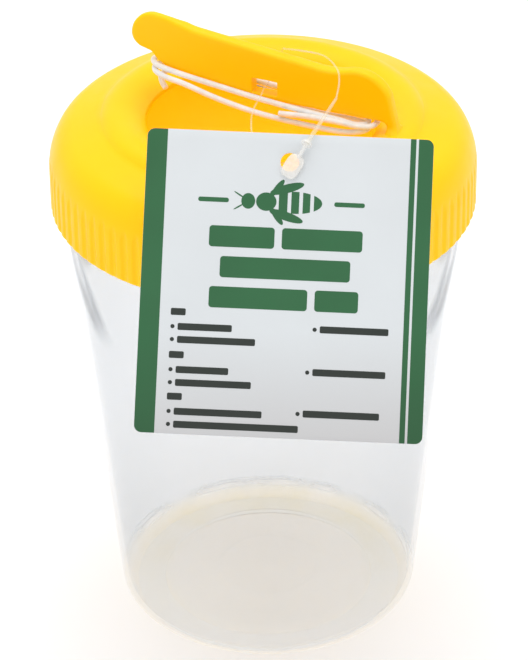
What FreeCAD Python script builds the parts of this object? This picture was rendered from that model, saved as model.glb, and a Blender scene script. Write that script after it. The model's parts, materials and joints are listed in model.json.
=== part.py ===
import FreeCAD, Part
import math
import os

import Sketcher
from FreeCAD import Placement, Rotation, Vector

# Hanging wasp trap, in millimetres.
# Frame: +Z is up, the origin is the centre of the cup's foot, and the cup, funnel and lid share the Z axis.
# The hanger is an upright plate on the lid. Its own frame is "along" (its length), "through" (its
# thickness, towards the back) and height, and it is turned about Z by hanger_turn.

SIZES = {
    # cup
    "foot_radius": 32.2,
    "foot_inner": 25.2,
    "panel_radius": 24.2,
    "panel_rise": 1.0,
    "floor_wall": 1.2,
    "cup_wall": 1.2,
    "base_corner_radius": 4.0,
    "base_side_radius": 35.9,
    "base_side_height": 3.8,
    "ledge_radius": 46.2,
    "ledge_height": 106.6,
    "neck_radius": 45.4,
    "neck_bore": 44.2,
    "neck_height": 107.9,
    "rim_height": 119.95,
    "bore_bend_height": 99.0,
    "bore_foot_radius": 34.7,
    "bore_foot_height": 4.4,
    "floor_edge_radius": 31.3,
    "ring_mark_radius": 12.0,
    "ring_mark_half": 0.6,
    "ring_mark_rise": 0.3,
    "gate_mark_radius": 1.6,
    "gate_mark_rise": 0.4,
    # screw thread shared by the cup and the lid
    "thread_pitch": 4.5,
    "thread_turns": 1.25,
    "thread_root": 2.4,
    "thread_crest": 1.2,
    "cup_thread_radius": 46.5,
    "cup_thread_height": 111.4,
    "lid_thread_radius": 45.9,
    "thread_offset": 1.65,
    "thread_bury": 0.3,
    # lid shell
    "lid_radius": 49.0,
    "skirt_bore": 47.0,
    "skirt_bottom": 107.4,
    "skirt_edge": 0.5,
    "skirt_top": 117.1,
    "shoulder_mid_radius": 47.32,
    "shoulder_mid_height": 123.57,
    "shoulder_lower_round": 13.3,
    "shoulder_top_radius": 43.25,
    "shoulder_top_height": 127.0,
    "shoulder_upper_round": 7.5,
    "crease_radius": 36.9,
    "crease_height": 129.2,
    "crest_radius": 33.0,
    "crest_height": 131.0,
    "crest_outer_round": 5.1,
    "crest_inner_round": 8.3,
    "mouth_radius": 26.6,
    "mouth_top": 128.0,
    "mouth_bottom": 126.8,
    "under_mouth_radius": 28.2,
    "under_crest_height": 129.1,
    "under_crease_height": 127.2,
    "under_shoulder_radius": 41.9,
    "under_shoulder_height": 125.4,
    "land_radius": 44.5,
    "land_height": 121.25,
    "land_wall_height": 122.3,
    "bead_reach": 1.0,
    "bead_low": 118.7,
    "bead_high": 119.6,
    # finger grooves round the skirt
    "groove_count": 92,
    "groove_radius": 1.3,
    "groove_depth": 0.4,
    "groove_length": 14.2,
    "groove_lead": 1.0,
    # hanger plate and its tab
    "hanger_turn": 23.0,
    "hanger_thick": 3.2,
    "hanger_round": 0.9,
    "tab_thick": 2.0,
    "tab_along": 26.4,
    "tab_height": 144.4,
    "tab_radius": 5.5,
    "tab_top_round": 19.6,
    "tab_root_along": 17.8,
    "tab_root_low": 139.9,
    "tab_root_high": 148.0,
    "slot_along": 1.2,
    "slot_height": 136.45,
    "slot_width": 6.2,
    "slot_tall": 3.9,
    "root_inner": 30.5,
    "root_outer": 33.4,
    "root_bottom": 129.6,
    "root_plain": 0.3,
    "root_edge_along": 33.0,
    "root_edge_height": 132.5,
    "hump_low_along": 31.3,
    "hump_low_height": 139.6,
    "hump_round": 8.5,
    "hump_top_along": 21.0,
    "hump_top_height": 144.3,
    "waist_round": 20.0,
    "waist_along": 14.5,
    "waist_height": 143.8,
    "rise_along": 15.3,
    "rise_height": 147.5,
    "rise_round": 12.0,
    "rise_top_along": 18.5,
    "rise_top_height": 148.3,
    "plate_end_along": 20.8,
    "plate_end_height": 148.9,
    "neck_along": 24.2,
    "neck_low_height": 137.6,
    "under_bend_along": 15.0,
    "under_bend_height": 135.5,
    "under_middle_height": 133.2,
    "under_root_height": 133.0,
    # entrance funnel
    "flange_radius": 46.4,
    "flange_thick": 1.2,
    "flange_gap": 0.03,
    "cone_top": 42.6,
    "cone_wall": 1.0,
    "cone_root_radius": 42.8,
    "throat_bore": 8.5,
    "throat_top": 86.0,
    "throat_bottom": 82.0,
    # cord wound round the hanger
    "cord_radius": 0.68,
    # hang tag
    "tag_width": 62.0,
    "tag_tall": 66.0,
    "tag_thick": 0.4,
    "tag_corner": 1.6,
    "tag_hole_radius": 2.0,
    "tag_hole_drop": 6.2,
    "tag_lean": 37.0,
    "tag_turn": 3.27,
    "tag_hole_x": 5.79,
    "tag_hole_y": -37.8,
    "tag_hole_z": 137.07,
    # nylon loop pin that ties the tag on
    "filament_radius": 0.25,
    "needle_radius": 0.48,
    "collar_radius": 1.2,
    "collar_thick": 0.6,
    "neck_pin_radius": 0.42,
    "paddle_half_width": 1.9,
    "paddle_half_length": 3.0,
    "paddle_half_thick": 0.55,
    "paddle_gap": 0.25,
    "paddle_right": 1.35,
    "paddle_drop": 0.95,
    "strand_right": 0.4,
    "collar_x": 9.5,
    "collar_y": -37.3,
    "collar_z": 141.4,
    "needle_tip_x": 16.1,
    "needle_tip_y": -27.5,
    "needle_tip_z": 147.1,
    "needle_tip_radius": 0.3,
}

doc = FreeCAD.newDocument("wasp_trap")


class Size:
    """A length that knows its value and the sheet expression it comes from."""

    def __init__(self, text, value):
        self.text = text
        self.value = value

    def joined(self, other, sign, result):
        other_text = other.text if isinstance(other, Size) else repr(other)
        return Size(f"({self.text} {sign} {other_text})", result)

    def __add__(self, other):
        return self.joined(other, "+", self.value + plain(other))

    def __sub__(self, other):
        return self.joined(other, "-", self.value - plain(other))

    def __mul__(self, other):
        return self.joined(other, "*", self.value * plain(other))

    def __truediv__(self, other):
        return self.joined(other, "/", self.value / plain(other))

    def __neg__(self):
        return Size(f"(0 - {self.text})", -self.value)

    def __abs__(self):
        return -self if self.value < 0 else self


def plain(length):
    """The number behind a Size, or the number itself."""
    return length.value if isinstance(length, Size) else length


class Sizes:
    """Every driving dimension of the sheet as an attribute."""


def make_sheet():
    """Writes the driving dimensions to the spreadsheet and returns them as Size objects."""
    sheet = doc.addObject("Spreadsheet::Sheet", "sheet")
    sizes = Sizes()
    for row, (name, value) in enumerate(SIZES.items(), start=1):
        sheet.set(f"A{row}", str(value))
        sheet.setAlias(f"A{row}", name)
        setattr(sizes, name, Size(f"sheet.{name}", value))
    doc.recompute()
    return sizes


dim = make_sheet()


def bind(obj, prop, length):
    """Ties a property to the sheet."""
    obj.setExpression(prop, length.text)


def new_body(label):
    body = doc.addObject("PartDesign::Body", label)
    body.Label = label
    return body


def origin_part(body, role):
    return next(f for f in body.Origin.OriginFeatures if f.Role == role)


def new_sketch(body, label, plane="XZ_Plane", shift=None, turned=False):
    """A sketch on one of the body's origin planes. A turned sketch lies in the hanger's plane."""
    sketch = body.newObject("Sketcher::SketchObject", label)
    sketch.AttachmentSupport = [(origin_part(body, plane), "")]
    sketch.MapMode = "FlatFace"
    if turned:
        sketch.AttachmentOffset = Placement(Vector(), Rotation(Vector(0, -1, 0), dim.hanger_turn.value))
        bind(sketch, "AttachmentOffset.Rotation.Angle", dim.hanger_turn)
    if shift is not None:
        bind(sketch, "AttachmentOffset.Base.z", shift)
    return sketch


def pin_point(sketch, geometry, end, x, y):
    """Fixes one end of a line or arc at (x, y), measured from the sketch's origin."""
    for kind, axis, length in (("DistanceX", -2, x), ("DistanceY", -1, y)):
        value = plain(length)
        if abs(value) < 1e-9:
            sketch.addConstraint(Sketcher.Constraint("PointOnObject", geometry, end, axis))
            continue
        if value > 0:
            row = sketch.addConstraint(Sketcher.Constraint(kind, -1, 1, geometry, end, value))
            text = length.text if isinstance(length, Size) else None
        else:
            row = sketch.addConstraint(Sketcher.Constraint(kind, geometry, end, -1, 1, -value))
            text = (-length).text if isinstance(length, Size) else None
        if text:
            sketch.setExpression(f"Constraints[{row}]", text)


def arc_between(start, finish, radius):
    """The shorter arc from start to finish. It turns left for a positive radius and right for a negative one."""
    chord = finish - start
    middle = (start + finish) * 0.5
    left = Vector(-chord.y, chord.x, 0).normalize()
    reach = math.sqrt(max(0.0, radius**2 - (chord.Length / 2) ** 2))
    centre = middle + left * math.copysign(reach, radius)
    circle = Part.Circle(centre, Vector(0, 0, 1), abs(radius))
    first, last = (start, finish) if radius > 0 else (finish, start)
    return Part.ArcOfCircle(circle, circle.parameter(first), circle.parameter(last))


def draw_outline(sketch, corners):
    """Draws a closed outline through corners (x, y) or (x, y, radius), all tied to the sheet.
    With a radius, the stretch from that corner to the next is an arc."""
    spots = [Vector(plain(c[0]), plain(c[1]), 0) for c in corners]
    ends = []
    for i, corner in enumerate(corners):
        start, finish = spots[i], spots[(i + 1) % len(spots)]
        if len(corner) == 3:
            row = sketch.addGeometry(arc_between(start, finish, plain(corner[2])))
            ends.append((row, 1, 2) if plain(corner[2]) > 0 else (row, 2, 1))
        else:
            row = sketch.addGeometry(Part.LineSegment(start, finish))
            ends.append((row, 1, 2))
    for i, (row, first, last) in enumerate(ends):
        following, entry, _ = ends[(i + 1) % len(ends)]
        sketch.addConstraint(Sketcher.Constraint("Coincident", row, last, following, entry))
    for corner, (row, first, last) in zip(corners, ends):
        pin_point(sketch, row, first, corner[0], corner[1])
        if len(corner) == 3:
            radius = abs(corner[2])
            rule = sketch.addConstraint(Sketcher.Constraint("Radius", row, radius.value))
            sketch.setExpression(f"Constraints[{rule}]", radius.text)


def draw_circle(sketch, x, y, radius):
    row = sketch.addGeometry(Part.Circle(Vector(plain(x), plain(y), 0), Vector(0, 0, 1), radius.value))
    pin_point(sketch, row, 3, x, y)
    rule = sketch.addConstraint(Sketcher.Constraint("Radius", row, radius.value))
    sketch.setExpression(f"Constraints[{rule}]", radius.text)


def revolve(body, label, corners):
    """Turns an outline of (radius, height) corners about the body's Z axis."""
    sketch = new_sketch(body, label + "_outline")
    draw_outline(sketch, corners)
    turned = body.newObject("PartDesign::Revolution", label)
    turned.Profile = sketch
    turned.ReferenceAxis = (sketch, ["V_Axis"])
    turned.Angle = 360.0
    sketch.Visibility = False
    return turned


def add_thread(body, label, wall_radius, crest_radius, height):
    """Adds a helical rib of trapezoid section that starts over +X at the given height."""
    half_root = dim.thread_root / 2
    half_crest = dim.thread_crest / 2
    sketch = new_sketch(body, label + "_section")
    corners = [
        (wall_radius, height - half_root),
        (crest_radius, height - half_crest),
        (crest_radius, height + half_crest),
        (wall_radius, height + half_root),
    ]
    draw_outline(sketch, corners)
    thread = body.newObject("PartDesign::AdditiveHelix", label)
    thread.Profile = sketch
    thread.ReferenceAxis = (sketch, ["V_Axis"])
    thread.Mode = "pitch-turns-angle"
    bind(thread, "Pitch", dim.thread_pitch)
    bind(thread, "Turns", dim.thread_turns)
    sketch.Visibility = False
    return thread


def build_cup():
    """The clear bait cup: a tapered cup with a recessed foot and a threaded neck."""
    body = new_body("cup")
    floor = dim.panel_rise + dim.floor_wall
    ring_in = dim.ring_mark_radius - dim.ring_mark_half
    ring_out = dim.ring_mark_radius + dim.ring_mark_half
    ring_top = floor + dim.ring_mark_rise
    rim_round = (dim.neck_radius - dim.neck_bore) / 2
    inner_round = dim.base_corner_radius - dim.cup_wall / 2
    gate_round = (dim.gate_mark_radius * dim.gate_mark_radius + dim.gate_mark_rise * dim.gate_mark_rise) / (
        dim.gate_mark_rise * 2
    )
    corners = [
        (0, dim.panel_rise),
        (dim.panel_radius, dim.panel_rise),
        (dim.foot_inner, 0),
        (dim.foot_radius, 0, dim.base_corner_radius),
        (dim.base_side_radius, dim.base_side_height),
        (dim.ledge_radius, dim.ledge_height),
        (dim.neck_radius, dim.neck_height),
        (dim.neck_radius, dim.rim_height - rim_round, rim_round),
        (dim.neck_bore + rim_round, dim.rim_height, rim_round),
        (dim.neck_bore, dim.rim_height - rim_round),
        (dim.neck_bore, dim.bore_bend_height),
        (dim.bore_foot_radius, dim.bore_foot_height, -inner_round),
        (dim.floor_edge_radius, dim.floor_wall),
        (dim.foot_inner, dim.floor_wall),
        (dim.panel_radius, floor),
        (ring_out, floor),
        (ring_out - dim.ring_mark_rise, ring_top),
        (ring_in + dim.ring_mark_rise, ring_top),
        (ring_in, floor),
        (dim.gate_mark_radius, floor, gate_round),
        (0, floor + dim.gate_mark_rise),
    ]
    revolve(body, "cup_wall_turned", corners)
    wall = dim.neck_radius - dim.thread_bury
    add_thread(body, "cup_thread", wall, dim.cup_thread_radius, dim.cup_thread_height)
    return body


def shell_corners():
    """Half section of the lid: skirt, shoulder, raised ring, mouth, and the inside back down."""
    bead = dim.skirt_bore - dim.bead_reach
    slope = dim.bead_reach / 2
    return [
        (dim.skirt_bore, dim.skirt_bottom),
        (dim.lid_radius - dim.skirt_edge, dim.skirt_bottom),
        (dim.lid_radius, dim.skirt_bottom + dim.skirt_edge),
        (dim.lid_radius, dim.skirt_top, dim.shoulder_lower_round),
        (dim.shoulder_mid_radius, dim.shoulder_mid_height, dim.shoulder_upper_round),
        (dim.shoulder_top_radius, dim.shoulder_top_height),
        (dim.crease_radius, dim.crease_height, dim.crest_outer_round),
        (dim.crest_radius, dim.crest_height, dim.crest_inner_round),
        (dim.mouth_radius, dim.mouth_top),
        (dim.mouth_radius, dim.mouth_bottom),
        (dim.under_mouth_radius, dim.mouth_bottom),
        (dim.crest_radius, dim.under_crest_height),
        (dim.crease_radius, dim.under_crease_height),
        (dim.under_shoulder_radius, dim.under_shoulder_height),
        (dim.land_radius, dim.land_wall_height),
        (dim.land_radius, dim.land_height),
        (dim.skirt_bore, dim.land_height),
        (dim.skirt_bore, dim.bead_high + slope),
        (bead, dim.bead_high),
        (bead, dim.bead_low + slope),
        (dim.skirt_bore, dim.bead_low),
    ]


def plate_corners():
    """Outline of the hanger plate as (along, height), from its root in the ring round to the tab and back."""
    return [
        (dim.root_outer, dim.root_bottom),
        (dim.root_edge_along, dim.root_edge_height),
        (dim.hump_low_along, dim.hump_low_height, dim.hump_round),
        (dim.hump_top_along, dim.hump_top_height, -dim.waist_round),
        (dim.waist_along, dim.waist_height),
        (-dim.rise_along, dim.rise_height, -dim.rise_round),
        (-dim.rise_top_along, dim.rise_top_height),
        (-dim.plate_end_along, dim.plate_end_height),
        (-dim.neck_along, dim.neck_low_height),
        (-dim.under_bend_along, dim.under_bend_height),
        (0, dim.under_middle_height),
        (dim.root_inner, dim.under_root_height),
        (dim.root_inner, dim.root_bottom),
    ]


def tab_corners():
    """Outline of the thin finger tab, a round head that runs into the plate."""
    return [
        (-dim.tab_along, dim.tab_height - dim.tab_radius),
        (-dim.tab_root_along, dim.tab_root_low),
        (-dim.tab_root_along, dim.tab_root_high),
        (-dim.plate_end_along, dim.plate_end_height, dim.tab_top_round),
        (-dim.tab_along, dim.tab_height + dim.tab_radius, dim.tab_radius),
        (-dim.tab_along - dim.tab_radius, dim.tab_height, dim.tab_radius),
    ]


def hanger_spot(point):
    """A point of the trap in the hanger's own frame: along, through and height."""
    angle = math.radians(dim.hanger_turn.value)
    along = point.x * math.cos(angle) - point.y * math.sin(angle)
    through = point.x * math.sin(angle) + point.y * math.cos(angle)
    return along, through, point.z


def face_edges(shape, levels, lowest):
    """Names of the edges that lie flat at one of these depths and have their middle above the lowest height."""
    names = []
    for row, edge in enumerate(shape.Edges, start=1):
        first, last = edge.FirstParameter, edge.LastParameter
        spots = [hanger_spot(edge.valueAt(first + (last - first) * share)) for share in (0.0, 0.5, 1.0)]
        flat = any(all(abs(through - level) < 1e-3 for _, through, _ in spots) for level in levels)
        if flat and spots[1][2] > lowest:
            names.append(f"Edge{row}")
    return names


def add_hanger(body):
    """The upright hanger plate with its rounded rim, and the thin tab at its free end."""
    half = dim.hanger_thick / 2
    sketch = new_sketch(body, "plate_outline", turned=True)
    draw_outline(sketch, plate_corners())
    plate = body.newObject("PartDesign::Pad", "plate")
    plate.Profile = sketch
    plate.SideType = "Symmetric"
    bind(plate, "Length", dim.hanger_thick)
    doc.recompute()
    rim = body.newObject("PartDesign::Fillet", "plate_rim")
    above_root = (dim.root_bottom + dim.root_plain).value
    rim.Base = (plate, face_edges(plate.Shape, (half.value, -half.value), above_root))
    bind(rim, "Radius", dim.hanger_round)
    sketch = new_sketch(body, "tab_outline", turned=True)
    draw_outline(sketch, tab_corners())
    tab = body.newObject("PartDesign::Pad", "tab")
    tab.Profile = sketch
    tab.SideType = "Two sides"
    bind(tab, "Length", half)
    bind(tab, "Length2", dim.tab_thick - half)


def cut_slot(body):
    """The slot through the plate that the cord is threaded through to hang the trap."""
    low = dim.slot_height - dim.slot_tall / 2
    high = dim.slot_height + dim.slot_tall / 2
    left = dim.slot_along - dim.slot_width / 2
    right = dim.slot_along + dim.slot_width / 2
    sketch = new_sketch(body, "slot_outline", turned=True)
    draw_outline(sketch, [(left, low), (right, low), (right, high), (left, high)])
    slot = body.newObject("PartDesign::Pocket", "slot")
    slot.Profile = sketch
    slot.SideType = "Symmetric"
    bind(slot, "Length", dim.hanger_thick * 2)
    return slot


def cut_grooves(body):
    """The finger grooves round the skirt. They run out where the shoulder turns in."""
    sketch = new_sketch(body, "groove_circle", plane="XY_Plane", shift=dim.skirt_bottom - dim.groove_lead)
    draw_circle(sketch, dim.lid_radius + dim.groove_radius - dim.groove_depth, 0, dim.groove_radius)
    groove = body.newObject("PartDesign::Pocket", "groove")
    groove.Profile = sketch
    groove.Reversed = True
    bind(groove, "Length", dim.groove_length + dim.groove_lead)
    ring = body.newObject("PartDesign::PolarPattern", "groove_ring")
    ring.Originals = [groove]
    ring.Axis = (origin_part(body, "Z_Axis"), [""])
    ring.Angle = 360.0
    bind(ring, "Occurrences", dim.groove_count)
    return ring


def build_lid():
    """The lid: a grooved screw skirt, a round shoulder, a raised ring round the mouth, and the hanger."""
    body = new_body("lid")
    add_hanger(body)
    cut_slot(body)
    revolve(body, "shell", shell_corners())
    ring = cut_grooves(body)
    body.Tip = ring
    height = dim.cup_thread_height - dim.thread_offset
    thread = add_thread(body, "lid_thread", dim.skirt_bore + dim.thread_bury, dim.lid_thread_radius, height)
    body.Tip = thread
    return body


def build_funnel():
    """The entrance funnel: its flange lies on the cup's rim and its cone hangs into the cup."""
    body = new_body("entrance_funnel")
    bottom = dim.rim_height + dim.flange_gap
    top = bottom + dim.flange_thick
    skin = dim.cone_wall
    corners = [
        (dim.flange_radius, bottom),
        (dim.flange_radius, top),
        (dim.cone_top, top),
        (dim.throat_bore, dim.throat_top),
        (dim.throat_bore, dim.throat_bottom),
        (dim.throat_bore + skin, dim.throat_bottom),
        (dim.throat_bore + skin, dim.throat_top - skin / 2),
        (dim.cone_root_radius, bottom),
    ]
    revolve(body, "funnel_wall", corners)
    return body


def hanger_point(along, through, height):
    """A point in the hanger's own frame as a point of the trap."""
    angle = math.radians(dim.hanger_turn.value)
    x = along * math.cos(angle) + through * math.sin(angle)
    y = -along * math.sin(angle) + through * math.cos(angle)
    return Vector(x, y, height)


def bent_bar(points, radius):
    """A round bar of this radius along straight runs between the points, with mitred bends."""
    path = Part.makePolygon(points)
    section = Part.Wire([Part.makeCircle(radius, points[0], points[1] - points[0])])
    mitred = 1
    return path.makePipeShell([section], True, False, mitred)


def cord_points():
    """The cord's centre line: wound lengthwise round the plate, under its root and round the tab's neck."""
    front, front_out, back = -2.55, -4.0, 2.55
    stations = [
        # the first end, in front of the plate, then under the root
        (5.8, front_out, 132.0), (13.0, front_out, 132.6), (21.0, front_out, 132.6),
        (24.5, -3.7, 132.3), (27.0, -2.3, 132.0), (27.8, 0.0, 131.9), (26.8, 2.5, 132.0),
        # back along the far side, high up, and round the neck
        (23.5, 3.9, 132.4), (12.0, 3.2, 134.1), (0.0, 2.75, 135.3), (-21.5, 2.7, 138.1),
        (-25.2, 2.2, 138.0), (-26.9, 0.0, 137.95), (-25.4, -1.9, 137.75),
        # the upper strand in front, then under the root
        (-22.5, front, 137.3), (-7.0, front, 134.95), (10.0, front, 133.1), (20.0, front, 132.35),
        (23.6, -2.4, 131.9), (25.3, -1.5, 131.75), (25.8, 0.0, 131.7), (24.8, 1.7, 131.75),
        # back along the far side, low down, and round the neck again
        (22.0, back, 131.9), (12.0, back, 132.5), (0.0, back, 133.6), (-21.5, back, 136.4),
        (-25.0, 1.8, 136.35), (-26.4, 0.0, 136.3), (-25.4, -2.2, 136.15),
        # the lower strand in front, then under the root
        (-22.5, -3.9, 136.0), (-17.7, -4.0, 135.1), (0.0, -3.7, 131.0), (13.0, -3.6, 130.1), (20.5, -3.6, 130.1),
        (23.6, -3.1, 130.3), (25.3, -1.6, 130.25), (25.8, 0.0, 130.2), (24.6, 1.6, 130.2),
        # the second end, along the far side and out under the neck
        (22.0, 2.5, 130.2), (12.0, 2.6, 130.3), (0.0, 2.6, 131.6), (-20.5, 2.5, 134.5),
        (-24.2, 1.5, 134.5), (-25.0, 0.0, 133.9), (-23.6, -1.9, 132.2),
    ]
    return [hanger_point(*station) for station in stations]


def build_cord():
    """The cord that comes wound round the hanger, ready to be tied through the slot."""
    cord = doc.addObject("Part::Feature", "hanging_cord")
    cord.Label = "hanging_cord"
    cord.Shape = bent_bar(cord_points(), dim.cord_radius.value)
    return cord


def tag_placement():
    """The card's frame: its origin is the hole, its x axis runs across the card and its z axis faces out."""
    centre = Vector(dim.tag_hole_x.value, dim.tag_hole_y.value, dim.tag_hole_z.value)
    lean = Rotation(Vector(1, 0, 0), 90.0 - dim.tag_lean.value)
    turn = Rotation(Vector(0, 0, 1), -dim.tag_turn.value)
    return Placement(centre, lean.multiply(turn))


def build_tag():
    """The card hang tag, which leans against the shoulder of the lid."""
    body = new_body("hang_tag")
    half = dim.tag_width / 2
    top = dim.tag_hole_drop
    bottom = dim.tag_hole_drop - dim.tag_tall
    turn = dim.tag_corner
    sketch = new_sketch(body, "card_outline", plane="XY_Plane")
    corners = [
        (-half, bottom + turn, turn),
        (turn - half, bottom),
        (half - turn, bottom, turn),
        (half, bottom + turn),
        (half, top - turn, turn),
        (half - turn, top),
        (turn - half, top, turn),
        (-half, top - turn),
    ]
    draw_outline(sketch, corners)
    draw_circle(sketch, 0, 0, dim.tag_hole_radius)
    card = body.newObject("PartDesign::Pad", "card")
    card.Profile = sketch
    bind(card, "Length", dim.tag_thick)
    body.Placement = tag_placement()
    return body


def strand_points(start, finish):
    """The thin strand: from behind the card through the slot, over the plate, and down to the needle's tip."""
    return [
        start,
        Vector(4.9, -36.2, 135.9),
        Vector(1.6, -32.4, 135.3),
        Vector(-1.9, -26.0, 136.7),
        Vector(-2.5, -18.0, 136.6),
        Vector(-1.7, -10.0, 136.0),
        Vector(-0.2, -4.4, 136.0),
        hanger_point(1.2, -1.6, 136.5),
        hanger_point(1.3, 1.4, 137.0),
        hanger_point(2.0, 2.7, 138.9),
        hanger_point(3.2, 2.9, 142.0),
        hanger_point(4.4, 1.9, 145.2),
        hanger_point(5.8, 0.2, 146.3),
        Vector(9.3, -5.2, 147.3),
        Vector(13.8, -9.0, 148.0),
        Vector(16.4, -14.0, 147.7),
        Vector(16.9, -21.6, 148.1),
        finish,
    ]


def tapered_bar(label, start, finish, start_radius, finish_radius):
    """A round bar between two points, straight or tapered."""
    run = finish - start
    bar = doc.addObject("Part::Cone", label)
    bind(bar, "Radius1", start_radius)
    bind(bar, "Radius2", finish_radius)
    bar.Height = run.Length
    bar.Placement = Placement(start, Rotation(Vector(0, 0, 1), run))
    return bar


def sheet_point(name):
    """The point whose coordinates are the sheet's sizes of this name."""
    return Vector(*(getattr(dim, f"{name}_{axis}").value for axis in "xyz"))


def build_pin():
    """The nylon loop pin: a flat paddle over the card's hole, a collar, a needle and a thin strand."""
    frame = tag_placement()
    height = (dim.tag_thick + dim.paddle_gap + dim.paddle_half_thick).value
    centre = frame.multVec(Vector(dim.paddle_right.value, -dim.paddle_drop.value, height))
    hole = frame.multVec(Vector(dim.strand_right.value, 0, height))
    collar_spot = sheet_point("collar")
    tip = sheet_point("needle_tip")
    outward = frame.Rotation.multVec(Vector(0, 0, 1))
    reach = collar_spot - centre
    reach = (reach - outward * reach.dot(outward)).normalize()
    paddle = doc.addObject("Part::Ellipsoid", "paddle")
    bind(paddle, "Radius1", dim.paddle_half_thick)
    bind(paddle, "Radius2", dim.paddle_half_width)
    bind(paddle, "Radius3", dim.paddle_half_length)
    paddle.Placement = Placement(centre, Rotation(reach.cross(outward), reach, outward))
    strand = doc.addObject("Part::Feature", "strand")
    strand.Shape = bent_bar(strand_points(hole, tip), dim.filament_radius.value)
    neck_start = centre + reach * dim.paddle_half_width.value
    collar_end = collar_spot + (tip - collar_spot).normalize() * dim.collar_thick.value
    parts = [
        paddle,
        strand,
        tapered_bar("pin_neck", neck_start, collar_spot, dim.neck_pin_radius, dim.neck_pin_radius),
        tapered_bar("collar", collar_spot, collar_end, dim.collar_radius, dim.collar_radius),
        tapered_bar("needle", collar_spot, tip, dim.needle_radius, dim.needle_tip_radius),
    ]
    pin = doc.addObject("Part::MultiFuse", "loop_pin")
    pin.Label = "loop_pin"
    pin.Shapes = parts
    return pin


def check_document(pieces):
    """Stops if any feature failed or any piece is not one sound solid."""
    failed = [obj.Name for obj in doc.Objects if {"Invalid", "Error"} & set(obj.State)]
    if failed:
        raise RuntimeError(f"these features failed: {failed}")
    for piece in pieces:
        shape = piece.Shape
        if shape.isNull() or not shape.isValid() or len(shape.Solids) != 1:
            raise RuntimeError(f"{piece.Label} is not one sound solid")


def main():
    pieces = [build_cup(), build_funnel(), build_lid(), build_cord(), build_tag(), build_pin()]
    doc.recompute()
    check_document(pieces)
    os.makedirs("parts", exist_ok=True)
    for piece in pieces:
        piece.Shape.exportStep(f"parts/{piece.Label}.step")


main()
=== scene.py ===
import json
import math

import bpy
from mathutils import Matrix, Vector
from mathutils.geometry import delaunay_2d_cdt


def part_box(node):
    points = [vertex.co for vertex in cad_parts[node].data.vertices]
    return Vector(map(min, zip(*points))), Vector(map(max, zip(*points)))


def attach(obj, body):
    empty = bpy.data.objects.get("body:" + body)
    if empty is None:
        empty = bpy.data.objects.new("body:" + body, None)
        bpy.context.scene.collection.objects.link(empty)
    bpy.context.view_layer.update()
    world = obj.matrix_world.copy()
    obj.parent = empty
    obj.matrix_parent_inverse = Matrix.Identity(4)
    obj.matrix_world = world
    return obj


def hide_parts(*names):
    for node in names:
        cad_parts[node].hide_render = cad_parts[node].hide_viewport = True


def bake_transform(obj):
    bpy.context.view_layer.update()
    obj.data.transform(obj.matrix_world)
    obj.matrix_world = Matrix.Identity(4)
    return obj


# A hanging wasp trap. Shapes are worked out in millimetres in the CAD frame (+Z up, the cup's foot on z = 0)
# and turned into metres when a mesh is made. Materials and the stage are in metres.

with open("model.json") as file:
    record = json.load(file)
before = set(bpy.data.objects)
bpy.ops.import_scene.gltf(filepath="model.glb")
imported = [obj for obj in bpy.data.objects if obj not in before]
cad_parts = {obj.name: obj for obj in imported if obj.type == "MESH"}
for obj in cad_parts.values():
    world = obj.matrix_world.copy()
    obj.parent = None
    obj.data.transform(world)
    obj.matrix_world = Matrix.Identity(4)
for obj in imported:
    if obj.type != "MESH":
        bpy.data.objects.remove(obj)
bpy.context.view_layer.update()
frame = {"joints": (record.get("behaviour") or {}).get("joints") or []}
MM = 0.001


def box_mm(node):
    """Lowest and highest corner of a CAD node at rest, in millimetres."""
    return [Vector(corner) * 1000 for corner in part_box(node)]


JOINTS = {joint["name"]: joint for joint in frame["joints"]}
LID_LOW, LID_HIGH = box_mm("lid")
FUNNEL_LOW, FUNNEL_HIGH = box_mm("entrance_funnel")
SKIRT_BOTTOM = LID_LOW.z
LID_RADIUS = LID_HIGH.x
RIM_HEIGHT = box_mm("cup")[1].z


# ---------------------------------------------------------------- outlines

ARC_STEP = math.radians(2.5)
FILLET_STEP = math.radians(12)
LONGEST_TRIM = 0.48    # the share of a side that one fillet may take


def arc_points(start, finish, radius, step=ARC_STEP):
    """Points of the shorter arc from start to finish, without the finish. Positive radius turns left."""
    start, finish = Vector(start), Vector(finish)
    chord = finish - start
    left = Vector((-chord.y, chord.x)).normalized()
    reach = math.sqrt(max(0.0, radius**2 - (chord.length / 2) ** 2))
    centre = (start + finish) / 2 + left * math.copysign(reach, radius)
    first, last = start - centre, finish - centre
    sweep = math.atan2(first.x * last.y - first.y * last.x, first.dot(last))
    count = max(2, math.ceil(abs(sweep) / step))
    points = []
    for i in range(count):
        angle = sweep * i / count
        c, s = math.cos(angle), math.sin(angle)
        points.append(centre + Vector((first.x * c - first.y * s, first.x * s + first.y * c)))
    return points


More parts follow.
